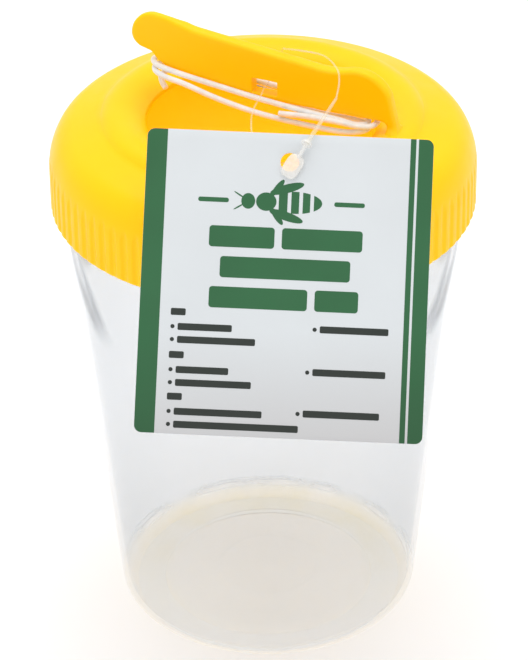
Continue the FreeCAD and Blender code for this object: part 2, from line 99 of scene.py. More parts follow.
def outline(corners, closed=True, longest=None):
    """Points of a path through corners (x, y, fillet, bulge). Fillet rounds the corner, and bulge makes the
    stretch to the next corner an arc of that radius. Straight stretches are cut to the longest length."""
    corners = [tuple(c) + (0.0,) * (4 - len(c)) for c in corners]
    points = []
    count = len(corners)
    for i, (x, y, fillet, bulge) in enumerate(corners):
        here = Vector((x, y))
        if fillet > 0:
            before = Vector(corners[i - 1][:2])
            after = Vector(corners[(i + 1) % count][:2])
            back, ahead = (before - here), (after - here)
            inner = back.angle(ahead)
            trim = min(fillet / math.tan(inner / 2), back.length * LONGEST_TRIM, ahead.length * LONGEST_TRIM)
            radius = trim * math.tan(inner / 2)
            side = 1.0 if back.x * ahead.y - back.y * ahead.x < 0 else -1.0
            first = here + back.normalized() * trim
            last = here + ahead.normalized() * trim
            points += arc_points(first, last, side * radius, FILLET_STEP) + [last]
        elif bulge and (closed or i + 1 < count):
            points += arc_points(here, corners[(i + 1) % count][:2], bulge)
        else:
            points.append(here)
    if longest is None:
        return points
    fine = []
    last_row = len(points) if closed else len(points) - 1
    for i in range(last_row):
        a, b = points[i], points[(i + 1) % len(points)]
        parts = max(1, math.ceil((b - a).length / longest))
        fine += [a.lerp(b, part / parts) for part in range(parts)]
    return fine if closed else fine + [points[-1]]


# ---------------------------------------------------------------- meshes

def mesh_object(name, points, faces, sharp=None):
    """A smooth-shaded mesh object from points in millimetres. Edges sharper than the angle stay crisp."""
    mesh = bpy.data.meshes.new(name)
    mesh.from_pydata([Vector(p) * MM for p in points], [], faces)
    mesh.validate()
    mesh.update()
    for polygon in mesh.polygons:
        polygon.use_smooth = True
    if sharp is not None:
        mesh.set_sharp_from_angle(angle=math.radians(sharp))
    made = bpy.data.objects.new(name, mesh)
    bpy.context.scene.collection.objects.link(made)
    return made


def merge(points_and_faces):
    """Several (points, faces) pairs as one."""
    points, faces = [], []
    for more_points, more_faces in points_and_faces:
        base = len(points)
        points += list(more_points)
        faces += [tuple(base + i for i in face) for face in more_faces]
    return points, faces


def lathe(profile, steps, closed=True, radius_rule=None):
    """Turns profile points (radius, height) about Z. radius_rule(radius, angle) may change a radius."""
    points, faces, rows = [], [], []
    for radius, height in profile:
        if radius < 1e-6:
            points.append(Vector((0, 0, height)))
            rows.append([len(points) - 1] * steps)
            continue
        row = []
        for k in range(steps):
            angle = math.tau * k / steps
            r = radius_rule(radius, angle) if radius_rule else radius
            row.append(len(points))
            points.append(Vector((r * math.cos(angle), r * math.sin(angle), height)))
        rows.append(row)
    pairs = list(zip(rows, rows[1:]))
    if closed:
        pairs.append((rows[-1], rows[0]))
    for lower, upper in pairs:
        for k in range(steps):
            n = (k + 1) % steps
            face = []
            for i in (lower[k], lower[n], upper[n], upper[k]):
                if i not in face:
                    face.append(i)
            if len(face) > 2:
                faces.append(tuple(face))
    return points, faces


THREAD_PITCH = 4.5
THREAD_TURNS = 1.25
THREAD_ROOT = 2.4
THREAD_TOP = 1.2
THREAD_STEPS = 140
THREAD_RUN_OUTS = 14    # one run-out takes one part in this many of the thread


def helix_rib(wall, crest, height):
    """A screw thread of trapezoid section with run-out ends, starting over +X at this height."""
    root, top = THREAD_ROOT / 2, THREAD_TOP / 2
    points, faces = [], []
    for i in range(THREAD_STEPS + 1):
        share = i / THREAD_STEPS
        fade = min(1.0, share * THREAD_RUN_OUTS, (1 - share) * THREAD_RUN_OUTS)
        angle = math.tau * THREAD_TURNS * share
        middle = height + THREAD_PITCH * THREAD_TURNS * share
        radius = wall + (crest - wall) * fade
        for r, z in ((wall, -root), (radius, -top), (radius, top), (wall, root)):
            points.append(Vector((r * math.cos(angle), r * math.sin(angle), middle + z)))
        if i:
            a, b = 4 * (i - 1), 4 * i
            faces += [(a + j, a + (j + 1) % 4, b + (j + 1) % 4, b + j) for j in range(4)]
    faces.append((3, 2, 1, 0))
    faces.append(tuple(range(len(points) - 4, len(points))))
    return points, faces


LEAST_STRETCH = 0.5    # keeps a moved corner from running away where the outline turns back
GRID_OFFSET = 0.37     # share of the spacing that keeps the grid off straight rims
GRID_GAP = 0.35        # share of the spacing that the grid keeps from the rims


def inset(points, distance):
    """A closed outline moved to its left by the distance."""
    moved = []
    for i, here in enumerate(points):
        back = (here - points[i - 1]).normalized()
        ahead = (points[(i + 1) % len(points)] - here).normalized()
        normal = Vector((-back.y - ahead.y, back.x + ahead.x))
        normal.normalize()
        stretch = max(LEAST_STRETCH, normal.dot(Vector((-back.y, back.x))))
        moved.append(here + normal * (distance / stretch))
    return moved


def inside(point, loop):
    """True if the point lies inside the closed loop."""
    hit = False
    for i, b in enumerate(loop):
        a = loop[i - 1]
        if (a.y > point.y) != (b.y > point.y):
            if point.x < a.x + (b.x - a.x) * (point.y - a.y) / (b.y - a.y):
                hit = not hit
    return hit


def clear_of(point, loops, gap):
    """True if the point keeps the gap from every point of the loops."""
    return all((point - q).length > gap for loop in loops for q in loop)


def grid_inside(rims, corner_points, spacing, extra):
    """Grid points between the outer rim and the holes' rims, over the box of the corner points."""
    xs, ys = [p.x for p in corner_points], [p.y for p in corner_points]
    left, low = min(xs), min(ys)
    grid = []
    for i in range(int((max(xs) - left) / spacing)):
        for j in range(int((max(ys) - low) / spacing)):
            grid.append(Vector((left + (i + GRID_OFFSET) * spacing, low + (j + GRID_OFFSET) * spacing)))
    grid += extra
    grid = [p for p in grid if inside(p, rims[0]) and not any(inside(p, rim) for rim in rims[1:])]
    return [p for p in grid if clear_of(p, rims, spacing * GRID_GAP)]


def slab(outer, holes, half, rounding, spacing, extra=(), rings=5, hole_rounding=None):
    """A flat plate with a rounded rim: points (x, y, depth) and faces. The outer loop runs anticlockwise and
    the holes clockwise. Grid points inside let the faces be bent later."""
    loops = [outer] + holes
    roundings = [rounding] + [hole_rounding or rounding] * len(holes)
    points, faces, edge_rows = [], [], {}
    for side in (-1, 1):
        for number, loop in enumerate(loops):
            for ring in range(rings + 1):
                turn = math.pi / 2 * ring / rings
                depth = side * (half - roundings[number] * (1 - math.sin(turn)))
                row = []
                for p in inset(loop, roundings[number] * (1 - math.cos(turn))):
                    row.append(len(points))
                    points.append(Vector((p.x, p.y, depth)))
                edge_rows[side, number, ring] = row
    for number, loop in enumerate(loops):
        chain = [edge_rows[-1, number, ring] for ring in range(rings, -1, -1)]
        chain += [edge_rows[1, number, ring] for ring in range(rings + 1)]
        for lower, upper in zip(chain, chain[1:]):
            for k in range(len(loop)):
                n = (k + 1) % len(loop)
                faces.append((lower[k], lower[n], upper[n], upper[k]))
    rims = [inset(loop, size) for loop, size in zip(loops, roundings)]
    flat = [p for rim in rims for p in rim] + grid_inside(rims, outer, spacing, extra)
    edges, base = [], 0
    for rim in rims:
        edges += [(base + k, base + (k + 1) % len(rim)) for k in range(len(rim))]
        base += len(rim)
    verts, _, triangles, origins, _, _ = delaunay_2d_cdt(flat, edges, [], 1, 1e-6)
    keep = []
    for triangle in triangles:
        middle = sum((verts[i] for i in triangle), Vector((0, 0))) / 3
        if not any(inside(middle, rim) for rim in rims[1:]):
            keep.append(triangle)
    for side in (-1, 1):
        rim_rows = [i for number in range(len(loops)) for i in edge_rows[side, number, rings]]
        place = {}
        for row, sources in enumerate(origins):
            source = sources[0] if sources else None
            if source is not None and source < len(rim_rows):
                place[row] = rim_rows[source]
            else:
                place[row] = len(points)
                points.append(Vector((verts[row].x, verts[row].y, side * half)))
        for triangle in keep:
            face = tuple(place[i] for i in triangle)
            faces.append(face if side > 0 else face[::-1])
    return points, faces


def smooth_curve(points, step):
    """Evenly sampled points of a smooth curve through the given ones (centripetal Catmull-Rom)."""
    ends = [points[0] * 2 - points[1]] + list(points) + [points[-1] * 2 - points[-2]]
    fine = []
    for a, b, c, d in zip(ends, ends[1:], ends[2:], ends[3:]):
        t1 = math.sqrt((b - a).length)
        t2 = t1 + math.sqrt((c - b).length)
        t3 = t2 + math.sqrt((d - c).length)
        count = max(1, round((c - b).length / step))
        for i in range(count):
            t = t1 + (t2 - t1) * i / count
            ab = a * ((t1 - t) / t1) + b * (t / t1)
            bc = b * ((t2 - t) / (t2 - t1)) + c * ((t - t1) / (t2 - t1))
            cd = c * ((t3 - t) / (t3 - t2)) + d * ((t - t2) / (t3 - t2))
            abc = ab * ((t2 - t) / t2) + bc * (t / t2)
            bcd = bc * ((t3 - t) / (t3 - t1)) + cd * ((t - t1) / (t3 - t1))
            fine.append(abc * ((t2 - t) / (t2 - t1)) + bcd * ((t - t1) / (t2 - t1)))
    return fine + [points[-1]]


def tube(points, radius, sides=16):
    """A closed round bar along the points. The radius is a number or a rule of the share of its length."""
    made, faces = [], []
    side = None
    for i, here in enumerate(points):
        ahead = (points[min(i + 1, len(points) - 1)] - points[max(i - 1, 0)]).normalized()
        if side is None:
            side = ahead.orthogonal().normalized()
        side = (side - ahead * side.dot(ahead)).normalized()
        up = ahead.cross(side)
        r = radius(i / (len(points) - 1)) if callable(radius) else radius
        for k in range(sides):
            angle = math.tau * k / sides
            made.append(here + (side * math.cos(angle) + up * math.sin(angle)) * r)
        if i:
            a, b = sides * (i - 1), sides * i
            faces += [(a + k, a + (k + 1) % sides, b + (k + 1) % sides, b + k) for k in range(sides)]
    faces.append(tuple(range(sides))[::-1])
    faces.append(tuple(range(len(made) - sides, len(made))))
    return made, faces


# ---------------------------------------------------------------- materials

NOISE_ROUGHNESS = 0.55
PLASTIC_IOR = 1.49


class Shader:
    """A material's node tree with short helpers."""

    def __init__(self, name):
        self.material = bpy.data.materials.new(name)
        self.material.use_nodes = True
        self.tree = self.material.node_tree
        self.main = self.tree.nodes["Principled BSDF"]
        self.place = self.node("ShaderNodeTexCoord").outputs["Object"]

    def node(self, kind, **settings):
        """A new node with these settings."""
        made = self.tree.nodes.new(kind)
        for key, value in settings.items():
            setattr(made, key, value)
        return made

    def link(self, a, b):
        """Joins an output to an input."""
        self.tree.links.new(a, b)

    def place_parts(self):
        """The X, Y and Z of the point, as three outputs."""
        parts = self.node("ShaderNodeSeparateXYZ")
        self.link(self.place, parts.inputs[0])
        return [parts.outputs[axis] for axis in "XYZ"]

    def noise(self, scale, detail=3.0):
        """Noise of so many bumps a metre."""
        made = self.node("ShaderNodeTexNoise")
        made.inputs["Scale"].default_value = scale
        made.inputs["Detail"].default_value = detail
        made.inputs["Roughness"].default_value = NOISE_ROUGHNESS
        self.link(self.place, made.inputs["Vector"])
        return made.outputs["Fac"]

    def span(self, value, low, high, from_low=0.3, from_high=0.7):
        """Carries a value between two limits over to low and high. The usual limits are those of noise."""
        made = self.node("ShaderNodeMapRange")
        limits = {"From Min": from_low, "From Max": from_high, "To Min": low, "To Max": high}
        for key, number in limits.items():
            made.inputs[key].default_value = number
        self.link(value, made.inputs["Value"])
        return made.outputs["Result"]

    def blend(self, fac, first, second):
        """Mix of two colours or colour outputs."""
        made = self.node("ShaderNodeMix", data_type="RGBA")
        for key, value in ((6, first), (7, second)):
            if isinstance(value, tuple):
                made.inputs[key].default_value = value + (1.0,)
            else:
                self.link(value, made.inputs[key])
        self.link(fac, made.inputs[0])
        return made.outputs[2]

    def mottled(self, scale, detail, first, second):
        """Two colours in noisy patches."""
        return self.blend(self.span(self.noise(scale, detail), 0.0, 1.0), first, second)

    def maths(self, operation, *values):
        """A math node fed with numbers or other nodes' outputs."""
        made = self.node("ShaderNodeMath", operation=operation)
        for key, value in enumerate(values):
            if isinstance(value, (int, float)):
                made.inputs[key].default_value = value
            else:
                self.link(value, made.inputs[key])
        return made.outputs[0]

    def times(self, first, second):
        """The product of two values."""
        return self.maths("MULTIPLY", first, second)

    def near(self, value, centre, full, none):
        """One where the value is within full of the centre, falling to zero at none."""
        return self.span(self.maths("ABSOLUTE", self.maths("SUBTRACT", value, centre)), 1.0, 0.0, full, none)

    def bump(self, height, strength, distance):
        """A normal for small relief of this height."""
        made = self.node("ShaderNodeBump")
        made.inputs["Strength"].default_value = strength
        made.inputs["Distance"].default_value = distance
        self.link(height, made.inputs["Height"])
        return made.outputs["Normal"]

    def put(self, name, value):
        """Sets an input of the main shader to a number, a colour or another node's output."""
        if isinstance(value, tuple):
            self.main.inputs[name].default_value = value + (1.0,)
        elif isinstance(value, (int, float)):
            self.main.inputs[name].default_value = value
        else:
            self.link(value, self.main.inputs[name])


def moulded_plastic(name, colour, deep, roughness, glow, depth, painted_light):
    """Slightly translucent moulded polypropylene: faint flow marks in colour, gloss and surface. Light
    shining through a thin wall from behind is stood for by glow and its depth, and by painted light: a faint
    glow of its own."""
    s = Shader(name)
    s.put("Base Color", s.mottled(38.0, 4.0, colour, deep))
    s.put("Roughness", s.span(s.noise(160.0, 5.0), roughness - 0.05, roughness + 0.06))
    s.put("IOR", PLASTIC_IOR)
    s.put("Specular IOR Level", 0.18)
    s.put("Subsurface Weight", glow)
    s.main.inputs["Subsurface Radius"].default_value = (1.0, 0.5, 0.1)
    s.main.inputs["Subsurface Scale"].default_value = depth
    # Painted light: a faint orange glow of its own, standing in for light through the thin wall.
    s.put("Emission Color", (1.0, 0.55, 0.0))
    s.put("Emission Strength", painted_light)
    s.put("Normal", s.bump(s.noise(900.0, 3.0), 0.12, 0.00006))
    return s.material


# The cup's colours, and the heights and radii where its looks change, in metres.
CUP_WALL_COLOUR = (0.50, 0.545, 0.59)
FOOT_FRONT_COLOUR = (1.0, 0.93, 0.81)
FOOT_BACK_COLOUR = (0.88, 0.78, 0.62)
FOOT_RING_COLOUR = (0.82, 0.65, 0.20)
FOOT_SMUDGE_COLOUR = (0.90, 0.84, 0.76)
# Painted light: the colour of a faint glow on the front of the foot.
FOOT_PAINTED_GLOW_COLOUR = (1.0, 0.92, 0.78)
# Painted highlight: a white band along the back inner corner.
PAINTED_CORNER_HIGHLIGHT_COLOUR = (0.97, 0.97, 0.97)
# Painted reflections: dark bands beside the neck.
PAINTED_REFLECTION_COLOUR = (0.20, 0.21, 0.22)
FOOT_FADE = (0.0014, 0.0042)
RING_FADE = (0.0225, 0.0270)
PAINTED_HIGHLIGHT_HEIGHT = 0.0034
BACK_FADE = 0.026
REFLECTION_TOP = 0.1085
REFLECTION_SLOPE = 13.0
# How much the cup hides: its wall seen straight on and at its silhouette, then what each part adds to that.
WALL_COVER = (0.135, 0.25)
FOOT_COVER = 0.075
PAINTED_CORNER_HIGHLIGHT_COVER = 0.45
PAINTED_REFLECTION_COVER = 0.55
LAMP_COVER = 0.2    # the share of all this that stops a lamp's light


def clear_plastic(name):
    """Clear, faintly milky polypropylene that lets lamps through. Its foot is beige with a faint painted glow
    in front, its back corner carries a painted white highlight, and painted dark reflections drift inwards
    from its sides below the neck."""
    s = Shader(name)
    x, y, z = s.place_parts()
    radius = s.maths("SQRT", s.maths("ADD", s.times(x, x), s.times(y, y)))
    back = s.span(y, 0.0, 1.0, -BACK_FADE, BACK_FADE)
    foot = s.span(z, 1.0, 0.0, *FOOT_FADE)
    ring = s.times(foot, s.span(radius, 0.0, 1.0, *RING_FADE))
    # Painted highlight: a white band along the inner corner at the back, broken up by noise.
    corner = s.near(z, PAINTED_HIGHLIGHT_HEIGHT, 0.0003, 0.0011)
    corner = s.times(corner, s.span(s.noise(42.0, 2.0), 0.0, 1.0, 0.44, 0.60))
    corner = s.times(corner, s.span(y, 0.25, 1.0, -0.01, 0.01))
    edge = s.node("ShaderNodeLayerWeight")
    edge.inputs["Blend"].default_value = 0.5
    toward = s.maths("SUBTRACT", 1.0, edge.outputs["Facing"])
    # Painted reflections: dark bands that drift inwards from the silhouettes below the neck.
    wave = s.times(s.maths("SUBTRACT", s.noise(60.0, 3.0), 0.5), 0.10)
    drift = s.maths("ADD", s.times(s.maths("SUBTRACT", REFLECTION_TOP, z), REFLECTION_SLOPE), wave)
    painted_reflection = s.near(toward, drift, 0.02, 0.10)
    painted_reflection = s.times(painted_reflection, s.span(z, 0.0, 1.0, 0.081, 0.087))
    painted_reflection = s.times(painted_reflection, s.span(z, 1.0, 0.0, 0.1045, 0.1075))
    beige = s.blend(back, FOOT_FRONT_COLOUR, FOOT_BACK_COLOUR)
    beige = s.blend(s.times(ring, back), beige, FOOT_RING_COLOUR)
    smudge = s.span(s.noise(110.0, 4.0), 0.0, 1.0, 0.42, 0.68)
    beige = s.blend(s.times(smudge, 0.6), beige, FOOT_SMUDGE_COLOUR)
    body = s.blend(corner, s.blend(foot, CUP_WALL_COLOUR, beige), PAINTED_CORNER_HIGHLIGHT_COLOUR)
    s.put("Base Color", s.blend(painted_reflection, body, PAINTED_REFLECTION_COLOUR))
    # Painted light: the front of the foot glows a little of its own.
    s.put("Emission Color", FOOT_PAINTED_GLOW_COLOUR)
    s.put("Emission Strength", s.times(foot, s.span(back, 0.16, 0.0)))
    s.put("Roughness", s.span(s.noise(70.0, 3.0), 0.07, 0.13))
    s.put("IOR", PLASTIC_IOR)
    s.put("Normal", s.bump(s.noise(26.0, 2.0), 0.07, 0.0004))
    cover = s.span(edge.outputs["Facing"], *WALL_COVER, 0.3, 1.0)
    for part, added in ((foot, FOOT_COVER), (corner, PAINTED_CORNER_HIGHLIGHT_COVER), (painted_reflection, PAINTED_REFLECTION_COVER)):
        cover = s.maths("ADD", cover, s.times(part, added))
    seen = s.node("ShaderNodeLightPath").outputs["Is Camera Ray"]
    s.put("Alpha", s.times(cover, s.span(seen, LAMP_COVER, 1.0)))
    return s.material


def cord_cotton(name, colour, deep):
    """Smooth cord with a fine braid in its surface."""
    s = Shader(name)
    s.put("Base Color", s.mottled(420.0, 4.0, colour, deep))
    s.put("Roughness", s.span(s.noise(800.0), 0.6, 0.8))
    s.put("Sheen Weight", 0.15)
    s.put("Normal", s.bump(s.noise(2600.0, 2.0), 0.35, 0.0001))
    return s.material


# Painted shade: how much the colour darkens towards the card's foot, over these heights.
CARD_SHADE = (0.83, 0.79, 0.775)    # how the card's colour darkens at its foot, which faces down
CARD_SHADE_HEIGHTS = (0.089, 0.108)


def printed_card(name, colour, deep, roughness):
    """Coated card or its print: faint mottling, painted shade towards its foot and a satin varnish."""
    s = Shader(name)
    height = s.place_parts()[2]
    foot = tuple(part * shade for part, shade in zip(deep, CARD_SHADE))
    # Painted shade, deepening towards the card's foot.
    shade = s.span(height, 1.0, 0.0, *CARD_SHADE_HEIGHTS)
    s.put("Base Color", s.blend(shade, s.mottled(60.0, 5.0, colour, deep), foot))
    s.put("Roughness", s.span(s.noise(240.0, 4.0), roughness - 0.06, roughness + 0.08))
    s.put("Normal", s.bump(s.noise(700.0, 3.0), 0.08, 0.00005))
    return s.material


def clear_nylon(name, colour, deep, thin, thick):
    """Translucent nylon, with the least and the most that it hides of what lies behind it."""
    s = Shader(name)
    s.put("Base Color", s.mottled(300.0, 3.0, colour, deep))
    s.put("Roughness", s.span(s.noise(500.0), 0.2, 0.32))
    s.put("Alpha", s.span(s.noise(250.0), thin, thick))
    s.put("Normal", s.bump(s.noise(900.0), 0.15, 0.0001))
    return s.material


LID_YELLOW = moulded_plastic(
    "lid_yellow", (1.0, 0.58, 0.002), (0.98, 0.55, 0.001), roughness=0.36, glow=0.15, depth=0.0012, painted_light=0.08)
# The funnel's stronger painted light brightens its inside.
FUNNEL_YELLOW = moulded_plastic(
    "funnel_yellow", (1.0, 0.62, 0.016), (0.98, 0.58, 0.013), roughness=0.4, glow=0.6, depth=0.004, painted_light=0.36)
CUP_CLEAR = clear_plastic("cup_clear")
CORD_WHITE = cord_cotton("cord_white", (0.88, 0.90, 0.92), (0.76, 0.78, 0.80))
CARD_WHITE = printed_card("card_white", (0.67, 0.70, 0.715), (0.645, 0.67, 0.685), roughness=0.42)
PRINT_GREEN = printed_card("print_green", (0.022, 0.130, 0.045), (0.018, 0.112, 0.038), roughness=0.36)
PRINT_DARK = printed_card("print_dark", (0.014, 0.020, 0.016), (0.020, 0.028, 0.022), roughness=0.4)
STRAND_NYLON = clear_nylon(
    "strand_nylon", (0.88, 0.80, 0.62), (0.80, 0.72, 0.54), thin=0.14, thick=0.32)
PADDLE_NYLON = clear_nylon(
    "paddle_nylon", (0.96, 0.94, 0.90), (0.88, 0.86, 0.82), thin=0.34, thick=0.56)


def finished(piece, material, body, slot, *nodes):
    """Gives a piece its material, its CAD body and the CAD nodes it stands for. The slot is not used."""
    piece.data.materials.append(material)
    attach(piece, body)
    if nodes:
        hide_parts(*nodes)
    return piece


# ---------------------------------------------------------------- cup

CUP_STEPS = 256
FOOT_RISE = 1.0
FOOT_RECESS = 24.2
FOOT_INNER = 25.2
FLOOR_WALL = 1.2
NECK_OUTER = 45.4
NECK_INNER = 44.2
RIM_ROUND = 0.58


def build_cup():
    """The clear bait cup with its recessed foot, threaded neck and round rim."""
    outside = [
        (0, FOOT_RISE), (FOOT_RECESS, FOOT_RISE, 0.6), (FOOT_INNER, 0.0, 0.6), (32.2, 0.0, 0, 4.0),
        (35.9, 3.8), (46.2, 106.6, 0.3), (NECK_OUTER, 107.9, 0.3), (NECK_OUTER, RIM_HEIGHT, RIM_ROUND),
    ]
    floor = FOOT_RISE + FLOOR_WALL
    inner_side = [
        (NECK_INNER, RIM_HEIGHT, RIM_ROUND), (NECK_INNER, 99.0, 8.0), (34.4, FLOOR_WALL, 3.2),
        (FOOT_INNER, FLOOR_WALL, 0.5), (FOOT_RECESS, floor, 0.5), (12.6, floor, 0.2), (12.3, 2.5, 0.2),
        (11.7, 2.5, 0.2), (11.4, floor, 0.2), (1.6, floor, 0.0, 3.4), (0, 2.6),
    ]
    wall = lathe(outline(outside + inner_side, closed=False, longest=6.0), CUP_STEPS, closed=False)
    thread = helix_rib(wall=45.2, crest=46.5, height=111.4)
    cup = mesh_object("cup_wall", *merge([wall, thread]), sharp=50)
    finished(cup, CUP_CLEAR, "cup", "clear_plastic", "cup")


# ---------------------------------------------------------------- lid

GROOVES = 92
GROOVE_STEPS = 10
GROOVE_RADIUS = 1.3
GROOVE_DEPTH = 0.4
GROOVE_SOFT = 0.05
GROOVE_MARGIN = 0.3

MOUTH = 26.6
RING_RADIUS = 33.0
RING_TOP = 131.0
RING_POWER = 1.9
RING_OUTER_FALL, RING_OUTER_RUN = 1.8, 3.9
RING_INNER_FALL, RING_INNER_RUN = 3.0, 6.4
LID_INNER = 47.0
LAND_RADIUS = 44.5


def grooved(radius, angle):
    """The skirt's radius where round-bottomed grooves cut into it, with softened edges."""
    if radius < LID_RADIUS - GROOVE_DEPTH - GROOVE_MARGIN:
        return radius
    pitch = math.tau / GROOVES
    offset = (angle + pitch / 2) % pitch - pitch / 2
    centre = LID_RADIUS + GROOVE_RADIUS - GROOVE_DEPTH
    across = centre * math.sin(offset)
    if abs(across) >= GROOVE_RADIUS:
        return radius
    cut = centre * math.cos(offset) - math.sqrt(GROOVE_RADIUS**2 - across**2)
    gap = max(0.0, GROOVE_SOFT - abs(radius - cut)) / GROOVE_SOFT
    return min(radius, cut) - gap * gap * GROOVE_SOFT / 4


def lid_profile():
    """Half section of the lid, as outline corners: skirt, shoulder and ring outside, then the mouth, the
    inside of the ring, the land over the funnel's flange and the bead that holds it."""
    low = SKIRT_BOTTOM
    return [
        (LID_INNER, low, 0.3), (LID_RADIUS, low, 0.5), (LID_RADIUS, 117.1, 0, 13.3), (47.32, 123.57, 0, 7.5),
        (43.25, 127.0), (36.9, 129.2, 0, 5.1), (RING_RADIUS, RING_TOP, 0, 8.3), (26.62, 128.02),
        (MOUTH, 127.9), (MOUTH, 126.8, 0.4), (28.2, 126.8, 0.4), (RING_RADIUS, 129.1), (36.9, 127.2),
        (41.9, 125.4), (LAND_RADIUS, 122.3), (LAND_RADIUS, 121.25), (LID_INNER, 121.25), (LID_INNER, 120.1),
        (46.0, 119.6), (46.0, 119.2), (LID_INNER, 118.7),
    ]


def ring_height(radius):
    """Height of the raised ring's surface at this radius."""
    if radius > RING_RADIUS:
        return RING_TOP - RING_OUTER_FALL * ((radius - RING_RADIUS) / RING_OUTER_RUN) ** RING_POWER
    return RING_TOP - RING_INNER_FALL * ((RING_RADIUS - radius) / RING_INNER_RUN) ** RING_POWER


def build_lid():
    """The lid's shell, with the thread inside its skirt, and the hanger plate on its raised ring."""
    shell = lathe(outline(lid_profile(), longest=1.6), GROOVES * GROOVE_STEPS, radius_rule=grooved)
    thread = helix_rib(wall=47.2, crest=45.9, height=109.75)
    lid = mesh_object("lid_shell", *merge([shell, thread]), sharp=40)
    finished(lid, LID_YELLOW, "lid", "lid_plastic", "lid")
    hanger = mesh_object("lid_hanger", *hanger_mesh(), sharp=50)
    finished(hanger, LID_YELLOW, "lid", "lid_plastic")


HANGER_TURN = math.radians(23.0)
HANGER_HALF = 1.6
HANGER_ROUND = 1.0
HANGER_SPACING = 1.0
TAB_THICK = 2.0
TAB_START, TAB_RUN = -17.5, 6.5
ROOT_START, ROOT_FLARE = 27.0, 1.7
ROOT_ROUND = 1.05
SLOT_LEFT, SLOT_RIGHT = -1.9, 4.3
SLOT_LOW, SLOT_HIGH = 134.75, 138.4
SLOT_CORNER, SLOT_ROUND = 0.35, 0.2


def hanger_point(along, through, height):
    """A point of the hanger's own frame in the trap's frame."""
    c, s = math.cos(HANGER_TURN), math.sin(HANGER_TURN)
    return Vector((along * c + through * s, -along * s + through * c, height))


def hanger_depth(along, depth, height):
    """The plate's depth here, thinned from behind along the tab and flared where it meets the ring."""
    thin = min(1.0, max(0.0, (TAB_START - along) / TAB_RUN))
    thin = thin * thin * (3 - 2 * thin)
    keep = 1.0 - thin * (1 - TAB_THICK / (2 * HANGER_HALF))
    depth = -HANGER_HALF + (depth + HANGER_HALF) * keep
    rise = height - ring_height(along)
    if along > ROOT_START and rise < ROOT_FLARE:
        widen = ROOT_FLARE - math.sqrt(max(0.0, ROOT_FLARE**2 - (ROOT_FLARE - max(rise, 0.0)) ** 2))
        depth += math.copysign(widen, depth)
    return depth


def hanger_mesh():
    """The hanger plate, its tab and its slot as one slab."""
    edge = [
        (30.5, 127.6, ROOT_ROUND), (36.0, 127.6, ROOT_ROUND), (36.0, 129.75, ROOT_ROUND), (33.35, 130.4, 2.2),
        (31.3, 139.6, 0, 8.5), (21.0, 144.3, 0, -20.0), (14.5, 143.8), (-15.3, 147.5, 0, -12.0),
        (-18.5, 148.3), (-20.8, 148.9, 0, 19.6), (-26.2, 150.0, 0, 5.7), (-31.6, 144.2, 0, 3.5),
        (-29.2, 141.1), (-26.8, 140.4, 1.2), (-25.2, 138.4, 1.5), (-22.5, 136.9, 1.3), (-15.0, 135.5),
        (0.0, 133.2), (30.5, 133.0, 1.2),
    ]
    outer = outline(edge, longest=0.7)
    slot_corners = [
        (SLOT_LEFT, SLOT_LOW), (SLOT_LEFT, SLOT_HIGH), (SLOT_RIGHT, SLOT_HIGH), (SLOT_RIGHT, SLOT_LOW),
    ]
    slot = outline([corner + (SLOT_CORNER,) for corner in slot_corners], longest=0.6)
    near_root = [Vector((27.6 + 0.5 * i, 129.3 + 0.45 * j)) for i in range(18) for j in range(12)]
    points, faces = slab(
        outer, [slot], HANGER_HALF, HANGER_ROUND, HANGER_SPACING, near_root, hole_rounding=SLOT_ROUND)
    shaped = [hanger_point(p.x, hanger_depth(p.x, p.z, p.y), p.y) for p in points]
    return shaped, [face[::-1] for face in faces]


# ---------------------------------------------------------------- funnel

FUNNEL_STEPS = 192
FLANGE_THICK = 1.2
THROAT = 8.5
THROAT_WALL = 1.0


def build_funnel():
    """The entrance funnel: a flange on the cup's rim and a cone down to an open throat."""
    low, high = FUNNEL_LOW.z, FUNNEL_HIGH.z
    flange = FUNNEL_HIGH.x
    under = high - FLANGE_THICK
    outer = THROAT + THROAT_WALL
    corners = [
        (flange, under, 0.3), (flange, high, 0.3), (42.6, high, 0.6), (THROAT, 86.0, 3.0),
        (THROAT, low, 0.35), (outer, low, 0.35), (outer, 85.5, 3.5), (42.8, under, 0.4),
    ]
    funnel = mesh_object("funnel_wall", *lathe(outline(corners, longest=3.0), FUNNEL_STEPS), sharp=50)
    finished(funnel, FUNNEL_YELLOW, "funnel", "funnel_plastic", "entrance_funnel")


# ---------------------------------------------------------------- cord

CORD_RADIUS = 0.66
CORD_STEP, CORD_SIDES = 0.4, 20


